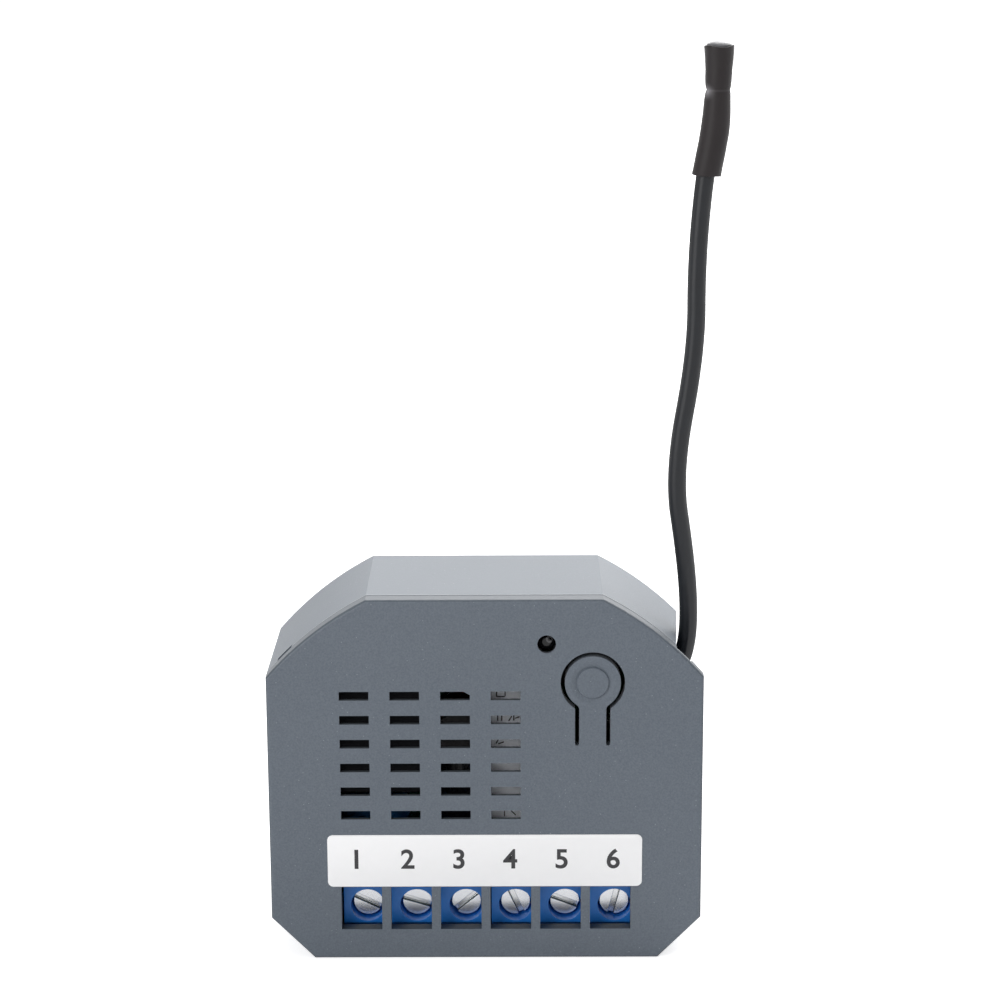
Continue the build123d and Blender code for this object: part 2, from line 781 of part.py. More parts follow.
with BuildPart() as radio_shield:
    with BuildSketch(behind(board_face - radio_thickness - shield_height)):
        with Locations((radio_left + radio_width / 2, radio_foot + radio_length - shield_inset)):
            Rectangle(radio_width - 2 * shield_inset, shield_length, align=(Align.CENTER, Align.MAX))
    extrude(amount=-shield_height)
    fillet(radio_shield.edges().filter_by(Axis.Y), radius=part_ease)
finish(radio_shield, "radio_shield")

# Status light on its legs, with its tip in the recess behind the hole in the cover
with BuildPart() as status_led:
    with BuildSketch(behind(led_tip)):
        with Locations((led_x, led_z)):
            Circle(led_radius)
    extrude(amount=-led_length)
    chamfer(status_led.faces().sort_by(Axis.Y)[0].edges(), length=led_ease)
    with BuildSketch(behind(led_tip + led_length)):
        with Locations((led_x, led_z)):
            Circle(led_flange_radius)
    extrude(amount=-led_flange)
    with BuildSketch(behind(led_tip + led_length)):
        with Locations((led_x, led_z)):
            with GridLocations(led_leg_spacing, led_leg_spacing, 2, 1):
                Rectangle(led_leg, led_leg)
    extrude(amount=-(board_face - led_tip - led_length))
finish(status_led, "status_led")

# Push switch and its plunger
plunger_back = board_face - switch_height + plunger_seat
with BuildPart() as tact_switch:
    with BuildSketch(behind(board_face - switch_height)):
        with Locations((button_x, button_z)):
            Rectangle(switch_size, switch_size)
    extrude(amount=-switch_height)
    with BuildSketch(behind(board_face - switch_height)):
        with Locations((button_x, button_z)):
            Circle(plunger_radius + running_gap)
    extrude(amount=-(plunger_seat + plunger_travel + part_gap), mode=Mode.SUBTRACT)
finish(tact_switch, "tact_switch")

with BuildPart() as tact_plunger:
    with BuildSketch(behind(plunger_face)):
        with Locations((button_x, button_z)):
            Circle(plunger_radius)
    extrude(amount=-(plunger_back - plunger_face))
finish(tact_plunger, "tact_plunger")

# Antenna wire: straight runs joined by arcs as large as the runs allow
points = route_points()
runs = [(b - a).length for a, b in zip(points, points[1:])]
turns = [(b - a).get_angle(c - b) for a, b, c in zip(points, points[1:], points[2:])]
bend_share = 0.45
radii = [
    bend_share * min(before, after) / math.tan(math.radians(turn / 2))
    for before, after, turn in zip(runs, runs[1:], turns)
]
with BuildPart() as antenna_wire:
    with BuildLine() as centre_line:
        FilletPolyline(*points, radius=radii)
    with BuildSketch(Plane(origin=centre_line.line @ 0, z_dir=centre_line.line % 0)):
        Circle(wire_radius)
    sweep()
wire_length = sum(edge.length for edge in centre_line.edges())
print("antenna bend radii", [round(radius, 2) for radius in radii])
print("antenna length", round(wire_length, 2))
print("antenna volume against section by length",
      round(antenna_wire.part.volume / (math.pi * wire_radius**2 * wire_length), 4))
finish(antenna_wire, "antenna_wire")


def level_centre(z):
    """The route's place at this height, in its upright stretch."""
    for (x0, d0, z0), (x1, d1, z1) in zip(route, route[1:]):
        if z0 <= z <= z1:
            along = (z - z0) / (z1 - z0)
            return x0 + along * (x1 - x0), y_at(d0 + along * (d1 - d0))


# Shrink sleeve: it stands off the wire a little at its foot and body, is drawn in
# at the waist, and flares to an open mouth above the end of the wire
bore_radius = wire_radius + part_gap
mouth_centre = (wire_end[0], y_at(wire_end[1]))
sleeve_waist = wire_end[2] - sleeve_waist_drop
sleeve_body = sleeve_foot + sleeve_body_share * (sleeve_waist - sleeve_foot)
with BuildPart() as antenna_sleeve:
    for z in (sleeve_foot, sleeve_body):
        x, y = level_centre(z)
        with BuildSketch(floor_plane.offset(z)):
            with Locations((x + sleeve_lean, y)):
                Circle(sleeve_body_radius)
    with BuildSketch(floor_plane.offset(sleeve_waist)):
        with Locations(mouth_centre):
            Circle(sleeve_waist_radius)
    loft(ruled=True)
    with Locations((*mouth_centre, sleeve_waist)):
        Cone(sleeve_waist_radius, sleeve_mouth_radius, sleeve_head - sleeve_waist,
             align=(Align.CENTER, Align.CENTER, Align.MIN))
    # Bore round the wire, opened out to the mouth
    with BuildLine() as bore_line:
        FilletPolyline(*points[-4:], radius=radii[-2:])
    with BuildSketch(Plane(origin=bore_line.line @ 0, z_dir=bore_line.line % 0)):
        Circle(bore_radius)
    sweep(mode=Mode.SUBTRACT)
    with Locations((*mouth_centre, wire_end[2])):
        Cone(bore_radius, sleeve_mouth_radius - sleeve_wall, sleeve_overhang,
             align=(Align.CENTER, Align.CENTER, Align.MIN), mode=Mode.SUBTRACT)
finish(antenna_sleeve, "antenna_sleeve")

# Sealant that fills the sleeve's mouth over the end of the wire
with BuildPart() as sleeve_seal:
    with Locations((*mouth_centre, wire_end[2] + part_gap)):
        Cone(wire_radius, seal_radius, sleeve_overhang - part_gap + seal_rise,
             align=(Align.CENTER, Align.CENTER, Align.MIN))
    chamfer(sleeve_seal.faces().sort_by(Axis.Z)[-1].edges(), length=seal_ease)
finish(sleeve_seal, "sleeve_seal")

# Motion: a screw draws its cage along one thread pitch a turn, and the tongue swings on its root
print("screw turn that closes a cage, degrees", round(360 * cage_travel / thread_pitch, 1))
print("cage travel for one radian, mm", round(thread_pitch / (2 * math.pi), 6))
print("tongue lever, mm", round(button_z - arm_root_z, 3), "swing, degrees",
      round(math.degrees(plunger_travel / (button_z - arm_root_z)), 3))
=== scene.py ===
import json
import math

import bmesh
import bpy
from mathutils import Matrix, Vector

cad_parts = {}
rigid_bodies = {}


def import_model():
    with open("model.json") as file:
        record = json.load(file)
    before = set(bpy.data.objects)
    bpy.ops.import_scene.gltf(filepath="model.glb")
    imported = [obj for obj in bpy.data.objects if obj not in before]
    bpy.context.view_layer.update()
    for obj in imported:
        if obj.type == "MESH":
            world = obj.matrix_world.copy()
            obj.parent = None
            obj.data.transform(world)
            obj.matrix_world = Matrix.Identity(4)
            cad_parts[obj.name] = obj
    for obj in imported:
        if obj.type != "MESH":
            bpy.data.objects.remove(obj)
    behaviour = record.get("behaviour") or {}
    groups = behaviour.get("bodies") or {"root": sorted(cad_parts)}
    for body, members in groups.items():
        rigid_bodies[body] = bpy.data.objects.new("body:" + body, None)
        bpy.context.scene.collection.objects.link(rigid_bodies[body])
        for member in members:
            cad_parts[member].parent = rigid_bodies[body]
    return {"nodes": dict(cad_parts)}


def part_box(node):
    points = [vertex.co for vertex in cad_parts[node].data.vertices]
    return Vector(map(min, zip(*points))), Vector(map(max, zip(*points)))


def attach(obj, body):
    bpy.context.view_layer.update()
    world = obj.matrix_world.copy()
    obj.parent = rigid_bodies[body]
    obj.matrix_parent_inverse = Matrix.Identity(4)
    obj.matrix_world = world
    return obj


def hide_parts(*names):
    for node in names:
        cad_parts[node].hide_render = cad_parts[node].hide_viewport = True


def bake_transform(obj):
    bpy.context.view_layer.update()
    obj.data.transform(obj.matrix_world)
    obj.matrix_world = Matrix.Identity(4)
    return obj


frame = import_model()

# The starting cube, lamp and camera of an empty Blender file go out, so that
# only the module is measured.
for thing in list(bpy.data.objects):
    if thing.name in ("Cube", "Light", "Camera"):
        bpy.data.objects.remove(thing)
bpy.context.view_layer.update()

# Camera. It stands in front of the module and a little above it, at the
# photograph's viewing angle, and looks slightly down onto the top face.
mm = 0.001
camera_place = Vector((2.6411, -265.8184, 115.6225)) * mm
camera_pitch, camera_yaw, camera_roll = 0.2574, -0.0041, -0.0044
camera_data = bpy.data.cameras.new("camera")
camera_data.lens, camera_data.sensor_width = 99.09, 36
camera_data.clip_start, camera_data.clip_end = 0.01, 20
camera = bpy.data.objects.new("camera", camera_data)
bpy.context.collection.objects.link(camera)
camera.matrix_world = (
    Matrix.Translation(camera_place)
    @ Matrix.Rotation(-camera_yaw, 4, "Z")
    @ Matrix.Rotation(math.pi / 2 - camera_pitch, 4, "X")
    @ Matrix.Rotation(camera_roll, 4, "Z")
)
bpy.context.scene.camera = camera
bpy.context.scene.view_settings.view_transform = "Standard"


class Tone:
    """One socket of a finish. Sums of values are written as plain maths on it."""

    def __init__(self, tree, socket=None):
        self.tree, self.socket = tree, socket

    def feed(self, node, sockets):
        """Sets the sockets of a node to values, or links them."""
        for name, value in sockets.items():
            if isinstance(value, Tone):
                self.tree.links.new(value.socket, node.inputs[name])
            else:
                node.inputs[name].default_value = value

    def node(self, kind, sockets=None, output=0, stops=(), **settings):
        """Any node: its settings and the stops of its ramp first, then its sockets."""
        node = self.tree.nodes.new("ShaderNode" + kind)
        for name, value in settings.items():
            setattr(node, name, value)
        for place, colour in stops[2:]:
            node.color_ramp.elements.new(place)
        for number, (place, colour) in enumerate(stops):
            node.color_ramp.elements[number].position = place
            node.color_ramp.elements[number].color = (*colour, 1)
        self.feed(node, sockets or {})
        return Tone(self.tree, node.outputs[output])

    def sum(self, operation, first, second):
        return self.node("Math", {0: first, 1: second}, operation=operation)

    def __add__(self, other):
        return self.sum("ADD", self, other)

    def __sub__(self, other):
        return self.sum("SUBTRACT", self, other)

    def __rsub__(self, other):
        return self.sum("SUBTRACT", other, self)

    def __mul__(self, other):
        return self.sum("MULTIPLY", self, other)

    def __gt__(self, other):
        return self.sum("GREATER_THAN", self, other)

    def __lt__(self, other):
        return self.sum("LESS_THAN", self, other)

    def __abs__(self):
        return self.node("Math", {0: self}, operation="ABSOLUTE")

    __radd__, __rmul__ = __add__, __mul__

    def within(self, low, high):
        """1 where the value lies between these two, and 0 elsewhere."""
        return (self > low) * (self < high)

    def between(self, low, high):
        """The colour that this share mixes from two others."""
        low, high = [c if isinstance(c, Tone) else (*c, 1) for c in (low, high)]
        return self.node("Mix", {0: self, 6: low, 7: high}, output=2, data_type="RGBA")


# Studio. White walls all round, brighter on the right, with a soft lamp at the
# left in front, a larger one high at the right behind, and one low behind. The
# camera sees the walls as white, and the light on the module stays plain.
world = bpy.data.worlds.new("studio")
bpy.context.scene.world = world
world.use_nodes = True
walls = Tone(world.node_tree)
seen = walls.node("LightPath", output="Is Camera Ray")
mirrored = (walls.node("LightPath", output="Is Glossy Ray")
            + walls.node("LightPath", output="Is Transmission Ray"))
side = walls.node("SeparateXYZ", {0: walls.node("TexCoord", output="Generated")}, output="X")
wall_left, wall_right, wall_fill = 0.68, 0.95, 0.54
shine = (side * 0.5 + 0.5) * (wall_right - wall_left) + wall_left
plain = (1 - seen - mirrored) * wall_fill
walls.feed(world.node_tree.nodes["Background"], {"Strength": seen + mirrored * shine + plain})
world.node_tree.nodes["Background"].inputs["Color"].default_value = (1, 1, 1, 1)

lamp_aim = Vector((0, 0, 0.03))
for name, place, size, watts in (
    ("lamp_left", (-0.42, -0.4, 0.36), 0.45, 1.97),
    ("lamp_right", (0.3, 0.35, 0.62), 0.8, 4.8),
    ("lamp_back", (0.06, 0.75, 0.34), 0.7, 3.1),
):
    lamp_data = bpy.data.lights.new(name, "AREA")
    lamp_data.shape, lamp_data.size, lamp_data.energy = "SQUARE", size, watts
    lamp = bpy.data.objects.new(name, lamp_data)
    bpy.context.collection.objects.link(lamp)
    lamp.location = place
    lamp.rotation_euler = (lamp_aim - lamp.location).to_track_quat("-Z", "Y").to_euler()


def new_finish(name, fixed=None):
    """A new finish, a tone to build it with, and its shader with the fixed sockets set."""
    finish = bpy.data.materials.new(name)
    finish.use_nodes = True
    tone = Tone(finish.node_tree)
    shader = finish.node_tree.nodes["Principled BSDF"]
    tone.feed(shader, fixed or {})
    return finish, tone, shader


# Table. A white sheet that keeps the module's soft shadow. It lights up a
# little for the camera and for reflections, so that it reads as white as the
# walls.
table_size, glow_seen, glow_mirrored = 12, 0.58, 0.2
bpy.ops.object.select_all(action="DESELECT")
bpy.ops.mesh.primitive_grid_add(x_subdivisions=8, y_subdivisions=8, size=table_size)
table = bpy.context.object
table.name = "table"
sheet_white, tone, shader = new_finish("table_white", {"Roughness": 0.9})
tone.feed(shader, {
    "Base Color": (0.78, 0.78, 0.79, 1),
    "Emission Color": (1, 1, 1, 1),
    "Emission Strength": (tone.node("LightPath", output="Is Camera Ray") * glow_seen
                          + tone.node("LightPath", output="Is Glossy Ray") * glow_mirrored),
})
table.data.materials.append(sheet_white)


# Antenna wire. Insulated wire that stands up by itself: it comes from its
# solder joint on the board through the notch wall, and sways up to the sleeve.
front_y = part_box("front_cover")[0].y / mm
wire_radius = 0.92
route = [             # place across, depth behind the cover's face, and height
    (16.2, 12.45, 25.9),
    (16.4, 8.3, 26.0),
    (19.6, 7.9, 28.2),
    (20.42, 7.8, 31.2),
    (20.48, 7.5, 35.2),
    (20.0, 7.1, 40.4),
    (18.7, 6.7, 48.8),
    (20.84, 7.0, 61.0),
    (20.78, 7.5, 69.8),
    (21.48, 7.9, 78.4),
    (22.64, 8.1, 84.9),
    (22.64, 8.1, 88.2),
]
line = bpy.data.curves.new("antenna_wire", "CURVE")
line.dimensions = "3D"
line.resolution_u = 16
spline = line.splines.new("NURBS")
spline.points.add(len(route) - 1)
for point, (x, depth, z) in zip(spline.points, route):
    point.co = (x * mm, (front_y + depth) * mm, z * mm, 1)
spline.order_u = 3
spline.use_endpoint_u = True
line.bevel_depth = wire_radius * mm
line.bevel_resolution = 6
line.use_fill_caps = True
wire = bpy.data.objects.new("antenna_wire_shown", line)
bpy.context.collection.objects.link(wire)
insulation, tone, shader = new_finish("wire_insulation", {
    "Specular IOR Level": 0.5, "Anisotropic": 0.85, "Anisotropic Rotation": 0.25})
place = tone.node("TexCoord", output="Object")
scuffs = tone.node("TexNoise", {"Vector": place, "Scale": 900, "Detail": 3})
waves = tone.node("TexNoise", {"Vector": place, "Scale": 260, "Detail": 1})
facing = tone.node("LayerWeight", {"Blend": 0.5}, output="Facing")
tone.feed(shader, {
    "Base Color": scuffs.between((0.002, 0.003, 0.005), (0.006, 0.008, 0.012)),
    "Roughness": scuffs * 0.12 + 0.3 + facing * facing * 0.6,
    "Normal": tone.node("Bump", {"Height": waves, "Strength": 0.35, "Distance": 0.05 * mm}),
})
line.materials.append(insulation)
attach(wire, "housing")
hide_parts("antenna_wire")


def alone(piece):
    """Makes this piece the only one selected."""
    bpy.ops.object.select_all(action="DESELECT")
    piece.select_set(True)
    bpy.context.view_layer.objects.active = piece


def fit(piece, name, finish, slot, body, *nodes):
    """Names a finished piece and sets it on its body in its finish, in place of its nodes."""
    piece.name = piece.data.name = name
    piece.data.materials.clear()
    piece.data.materials.append(finish)
    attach(piece, body)
    if nodes:
        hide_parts(*nodes)


# Shrink sleeve. A tube of dark film shrunk over the end of the wire: a crease
# runs round it where it bends, and its cut mouth flares in waves.
sleeve_sides, sleeve_depth, sleeve_wall, sleeve_ease = 64, 8.05, 0.2, 0.06
crease_height, rim_height = 86.4, 90.7
sleeve_rings = [      # height, place across and radius
    (78.12, 21.65, 1.4),
    (78.35, 21.68, 1.43),
    (78.9, 21.78, 1.425),
    (80.4, 22.06, 1.43),
    (81.4, 22.24, 1.42),
    (82.3, 22.38, 1.42),
    (83.3, 22.49, 1.395),
    (84.25, 22.55, 1.35),
    (85.4, 22.59, 1.29),
    (86.0, 22.62, 1.25),
    (crease_height, 22.65, 1.17),
    (86.8, 22.65, 1.26),
    (87.3, 22.66, 1.29),
    (88.3, 22.69, 1.31),
    (89.2, 22.71, 1.36),
    (89.8, 22.71, 1.4),
    (90.35, 22.69, 1.43),
    (rim_height, 22.67, 1.445),
]
foot_height, foot_across, foot_radius = sleeve_rings[0]
bpy.ops.object.select_all(action="DESELECT")
bpy.ops.mesh.primitive_circle_add(
    vertices=sleeve_sides, radius=foot_radius * mm,
    location=(foot_across * mm, (front_y + sleeve_depth) * mm, foot_height * mm))
sleeve = bpy.context.object
bpy.ops.object.mode_set(mode="EDIT")
for (z0, x0, r0), (z1, x1, r1) in zip(sleeve_rings, sleeve_rings[1:]):
    bpy.ops.mesh.extrude_region_move(
        TRANSFORM_OT_translate={"value": ((x1 - x0) * mm, 0, (z1 - z0) * mm)})
    bpy.ops.transform.resize(
        value=(r1 / r0, r1 / r0, 1),
        center_override=(x1 * mm, (front_y + sleeve_depth) * mm, z1 * mm))
bpy.ops.object.mode_set(mode="OBJECT")
bpy.ops.object.transform_apply(location=True)
sleeve_middle, foot_end, foot_dip = 22.65, 79.2, 0.12
rim_start, rim_swell, rim_wave, rim_drop = 89.6, 0.03, 0.08, 0.1
crease_deep, crease_wide, crease_sway = 0.05, 0.35, 0.16
swell_turn, wave_turn, crease_turn = 0.6, 2.4, 2.6
for vertex in sleeve.data.vertices:
    z = vertex.co.z / mm
    turn = math.atan2(vertex.co.y / mm - front_y - sleeve_depth, vertex.co.x / mm - sleeve_middle)
    rim = max(0, (z - rim_start) / (rim_height - rim_start))
    foot = max(0, (foot_end - z) / (foot_end - foot_height))
    fold = math.exp(-((z - crease_height + crease_sway * math.sin(turn)) / crease_wide) ** 2)
    swell = (rim_swell * math.sin(3 * turn + swell_turn) * rim
             - crease_deep * fold * (0.5 + 0.5 * math.cos(turn - crease_turn)))
    vertex.co.x += swell * mm * math.cos(turn)
    vertex.co.y += swell * mm * math.sin(turn)
    vertex.co.z += (rim_wave * math.sin(3 * turn + wave_turn) * rim ** 3 - rim_drop * rim ** 3
                    - foot_dip * math.cos(turn) * foot ** 3) * mm
alone(sleeve)
bpy.ops.object.mode_set(mode="EDIT")
bpy.ops.mesh.select_all(action="SELECT")
bpy.ops.mesh.normals_make_consistent(inside=False)
bpy.ops.object.mode_set(mode="OBJECT")
thick = sleeve.modifiers.new("wall", "SOLIDIFY")
thick.thickness, thick.offset = sleeve_wall * mm, -1
bpy.ops.object.modifier_apply(modifier=thick.name)
eased = sleeve.modifiers.new("rims", "BEVEL")
eased.width, eased.segments, eased.angle_limit = sleeve_ease * mm, 2, math.radians(50)
bpy.ops.object.modifier_apply(modifier=eased.name)
bpy.ops.object.shade_smooth_by_angle(angle=math.radians(40))
shrunk, tone, shader = new_finish("shrink_sleeve", {
    "Specular IOR Level": 0.36, "Anisotropic": 0.6, "Anisotropic Rotation": 0.25})
place = tone.node("TexCoord", output="Object")
drawn = tone.node("Mapping", {"Vector": place, "Scale": (1, 1, 0.25)})
haze = tone.node("TexNoise", {"Vector": place, "Scale": 420, "Detail": 4})
ripple = tone.node("TexNoise", {"Vector": drawn, "Scale": 900, "Detail": 2})
film = (haze * 0.5 + ripple * 0.5).between((0.008, 0.005, 0.0055), (0.022, 0.0175, 0.0185))
# A painted highlight: a pale soft spot on the bulge beside the crease, with a faint pale line
# along the crease itself.
fold_place = (21.64 * mm, (front_y + 7.46) * mm, (crease_height - 0.15) * mm)
fold_reach, crease_reach = 1.0 * mm, 0.16 * mm
off_fold = tone.node("VectorMath", {0: place, 1: fold_place}, output="Value", operation="DISTANCE")
off_crease = abs(tone.node("SeparateXYZ", {0: place}, output="Z") - crease_height * mm)
painted_highlight_spot = 1 - off_fold * (1 / fold_reach)
creased = 1 - off_crease * (1 / crease_reach)
highlight_and_pale_crease = (painted_highlight_spot > 0) * painted_highlight_spot * painted_highlight_spot * 0.75 + (creased > 0) * creased * 0.06
tone.feed(shader, {
    "Base Color": highlight_and_pale_crease.between(film, (0.34, 0.33, 0.35)),
    "Roughness": haze * 0.2 + 0.42,
    "Normal": tone.node("Bump", {"Height": ripple, "Strength": 0.5, "Distance": 0.05 * mm}),
})
fit(sleeve, "antenna_sleeve_shown", shrunk, "shrink_sleeve", "housing", "antenna_sleeve")


def mottled(name, scale, detail, colours, roughness, bump=None, fixed=None):
    """A finish that one fine noise varies: the colour between two, the roughness from the
    first number by up to the second, and a bump, which is given as its strength and height."""
    finish, tone, shader = new_finish(name, fixed)
    place = tone.node("TexCoord", output="Object")
    noise = tone.node("TexNoise", {"Vector": place, "Scale": scale, "Detail": detail})
    least, spread = roughness
    tone.feed(shader, {"Base Color": noise.between(*colours), "Roughness": noise * spread + least})
    if bump:
        strength, height = bump
        relief = tone.node("Bump", {"Height": noise, "Strength": strength, "Distance": height})
        tone.feed(shader, {"Normal": relief})
    return finish


# Sealant. A drop of clear grey glue that fills the sleeve's mouth over the end
# of the wire and stands a little proud of the rim, with a rounded top.
seal_low, seal_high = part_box("sleeve_seal")
seal_radius, seal_across, seal_flat, seal_taper = 1.22 * mm, 22.68 * mm, 0.34, 0.8
bpy.ops.object.select_all(action="DESELECT")
bpy.ops.mesh.primitive_uv_sphere_add(
    segments=40, ring_count=20, radius=seal_radius,
    location=(seal_across, (front_y + sleeve_depth) * mm, seal_high.z - seal_radius * seal_flat))
seal = bpy.context.object
bpy.ops.object.mode_set(mode="EDIT")
bpy.ops.mesh.select_all(action="SELECT")
bpy.ops.transform.resize(value=(1, 1, seal_flat), center_override=seal.location)
bpy.ops.mesh.bisect(plane_co=seal.location, plane_no=(0, 0, 1), clear_inner=True)
bpy.ops.mesh.extrude_region_move(
    TRANSFORM_OT_translate={"value": (0, 0, seal_low.z - seal.location.z)})
bpy.ops.transform.resize(value=(seal_taper, seal_taper, 1),
                         center_override=(seal.location.x, seal.location.y, seal_low.z))
bpy.ops.mesh.edge_face_add()
bpy.ops.mesh.select_all(action="SELECT")
bpy.ops.mesh.normals_make_consistent(inside=False)
bpy.ops.object.mode_set(mode="OBJECT")
bpy.ops.object.transform_apply(location=True)
bpy.ops.object.shade_smooth_by_angle(angle=math.radians(40))
glue = mottled("sealant", 1100, 3, ((0.06, 0.06, 0.065), (0.2, 0.2, 0.21)),
               roughness=(0.12, 0.2), bump=(0.3, 0.04 * mm))
fit(seal, "sleeve_seal_shown", glue, "sealant", "housing", "sleeve_seal")


def wear(finish, *nodes):
    """Gives CAD nodes that stay as they are a finish."""
    for node in nodes:
        frame["nodes"][node].data.materials.clear()
        frame["nodes"][node].data.materials.append(finish)


# Housing and cover. Both are slate grey moulded plastic with a fine
# spark-eroded grain; the cover snaps into the base along a thin seam. Their
# colour also holds painted light: painted shade on the walls of the openings,
# on the cover's rim and in the seam groove, and a painted highlight on the
# base's edge beside the seam.
grain_size, speck_cell, speck_size, speck_rare = 0.17 * mm, 0.5 * mm, 0.1, 0.75
housing_plastic, tone, shader = new_finish("housing_plastic", {
    "Sheen Weight": 0.15, "Sheen Roughness": 0.4})
place = tone.node("TexCoord", output="Object")
across, depth, up = [tone.node("SeparateXYZ", {0: place}, output=axis) for axis in "XYZ"]
grain = tone.node("TexNoise", {
    "Vector": place, "Scale": 1 / grain_size, "Detail": 3, "Roughness": 0.6})
flow = tone.node("TexNoise", {"Vector": place, "Scale": 55, "Detail": 2})
off_speck, chance = [
    tone.node("TexVoronoi", {"Vector": place, "Scale": 1 / speck_cell}, output=output)
    for output in ("Distance", "Color")]
speck = (off_speck < speck_size) * (tone.node("SeparateColor", {0: chance}) > speck_rare)


def behind_face(start, end):
    """1 between two depths behind the cover's face, in millimetres, and 0 elsewhere."""
    return depth.within((front_y + start) * mm, (front_y + end) * mm)


# The pressed tongue passes these depths, so its place is left out of the
# painted shade on the walls of the openings and on the cover's rim.
tongue_across, tongue_reach, tongue_foot, tongue_top = 10.65 * mm, 2.95 * mm, 22.5 * mm, 32.3 * mm
opening_reach, opening_foot, opening_top = 16 * mm, 2.5 * mm, 30 * mm
by_tongue = (abs(across - tongue_across) < tongue_reach) * up.within(tongue_foot, tongue_top)
by_openings = (abs(across) < opening_reach) * up.within(opening_foot, opening_top)
# The walls of the openings are painted near black: painted shade inside the vents, windows and
# holes.
painted_shade_in_openings = (1 - by_tongue) * by_openings * behind_face(0.06, 1.79)
# The cover's rim and the seam groove behind it are painted darker: painted shade on the rim's
# rounded edge and in the groove.
rim = (1 - by_tongue) * behind_face(0.05, 1.62)
groove_with_painted_shade = behind_face(1.62, 1.78)
# The base's edge just behind the groove is painted lighter: a painted highlight along the seam.
painted_seam_highlight = behind_face(1.8, 2.02)
slate = (grain * 0.8 + flow * 0.2).between((0.058, 0.076, 0.1), (0.162, 0.187, 0.218))
specked = (speck * 0.3).between(slate, (0.5, 0.52, 0.54))
with_painted_opening_shade = (painted_shade_in_openings * 0.8).between(specked, (0.008, 0.018, 0.024))
with_painted_rim_shade = (rim * 0.5 + groove_with_painted_shade * 0.9).between(with_painted_opening_shade, (0.02, 0.03, 0.04))
tone.feed(shader, {
    "Base Color": (painted_seam_highlight * 0.5).between(with_painted_rim_shade, (0.42, 0.44, 0.46)),
    "Roughness": grain * 0.16 + 0.42 + groove_with_painted_shade * 0.4,
    "Normal": tone.node("Bump", {"Height": grain, "Strength": 0.5, "Distance": 0.02 * mm}),
})
wear(housing_plastic, "base_housing", "front_cover")


def smooth(piece, angle):
    """Shades a piece smooth below the angle, with its large faces kept flat."""
    bpy.ops.object.shade_smooth_by_angle(angle=math.radians(angle))
    flat = piece.modifiers.new("flat", "WEIGHTED_NORMAL")
    flat.keep_sharp = True
    bpy.ops.object.modifier_apply(modifier=flat.name)


def eased_copy(node, width, angle=40, segments=2):
    """A copy of a node with whole flats, whose sharp edges are eased by the width in mm."""
    piece = bpy.data.objects.new(node, frame["nodes"][node].data.copy())
    bpy.context.collection.objects.link(piece)
    alone(piece)
    bpy.ops.object.mode_set(mode="EDIT")
    bpy.ops.mesh.select_all(action="SELECT")
    bpy.ops.mesh.remove_doubles(threshold=0.0005 * mm)
    bpy.ops.mesh.dissolve_limited(angle_limit=math.radians(0.5))
    bpy.ops.mesh.customdata_custom_splitnormals_clear()
    bpy.ops.object.mode_set(mode="OBJECT")
    eased = piece.modifiers.new("eased", "BEVEL")
    eased.width, eased.segments, eased.angle_limit = width * mm, segments, math.radians(angle)
    bpy.ops.object.modifier_apply(modifier=eased.name)
    smooth(piece, 30)
    return piece


# Button tongue. It is one moulding with the cover: a round pad with a shallow
# dish, on a thin arm. The arm's root runs into the cover and bends there.
tongue_low, tongue_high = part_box("button_tongue")
root_reach, root_overlap, bend_length = 0.1 * mm, 0.06 * mm, 2.4 * mm
dish_radius, dish_deep, dish_fill, dish_spread = 2.25 * mm, 0.5 * mm, 0.5, 0.2
pad_across = (tongue_low.x + tongue_high.x) / 2
pad_radius = (tongue_high.x - tongue_low.x) / 2
pad_middle = Vector((pad_across, 0, tongue_high.z - pad_radius))
tongue = eased_copy("button_tongue", 0.05, angle=25)
for vertex in tongue.data.vertices:
    if vertex.co.z < tongue_low.z + root_reach:
        vertex.co.z -= root_overlap
    sunk = vertex.co.y - tongue_low.y
    outward = Vector((vertex.co.x - pad_middle.x, 0, vertex.co.z - pad_middle.z))
    if sunk < dish_deep and outward.length < dish_radius:
        vertex.co += outward.normalized() * dish_spread * sunk - Vector((0, dish_fill * sunk, 0))
alone(tongue)
bpy.ops.mesh.customdata_custom_splitnormals_clear()
smooth(tongue, 12)
tongue.name = tongue.data.name = "button_tongue_shown"
tongue.data.materials.clear()
tongue.data.materials.append(housing_plastic)
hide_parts("button_tongue")
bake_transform(tongue)


def pick_edges(test):
    """In edit mode, selects the edges that pass the test and nothing else."""
    bpy.ops.mesh.select_mode(type="EDGE")
    bpy.ops.mesh.select_all(action="DESELECT")
    shape = bmesh.from_edit_mesh(bpy.context.edit_object.data)
    for edge in shape.edges:
        if test(edge):
            edge.select_set(True)
    bmesh.update_edit_mesh(bpy.context.edit_object.data)


# Terminal label. A white film sticker with rounded corners on the cover, and a
# plain number over each terminal, printed in dark grey.
label_low, label_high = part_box("terminal_label")
label_round, film_ease, film_spare = 0.55 * mm, 0.03 * mm, 0.01 * mm
bpy.ops.object.select_all(action="DESELECT")
bpy.ops.mesh.primitive_plane_add(size=1, location=(label_low + label_high) / 2,
                                 rotation=(math.pi / 2, 0, 0))
label = bpy.context.object
label.scale = (label_high.x - label_low.x, label_high.z - label_low.z, 1)
bpy.ops.object.transform_apply(location=True, rotation=True, scale=True)
bpy.ops.object.mode_set(mode="EDIT")
bpy.ops.mesh.select_all(action="SELECT")
bpy.ops.mesh.bevel(offset=label_round, segments=10, affect="VERTICES")
bpy.ops.mesh.select_all(action="SELECT")
bpy.ops.transform.translate(value=(0, (label_high.y - label_low.y) / 2, 0))
bpy.ops.mesh.extrude_region_move(
    TRANSFORM_OT_translate={"value": (0, label_low.y - label_high.y + film_spare, 0)})
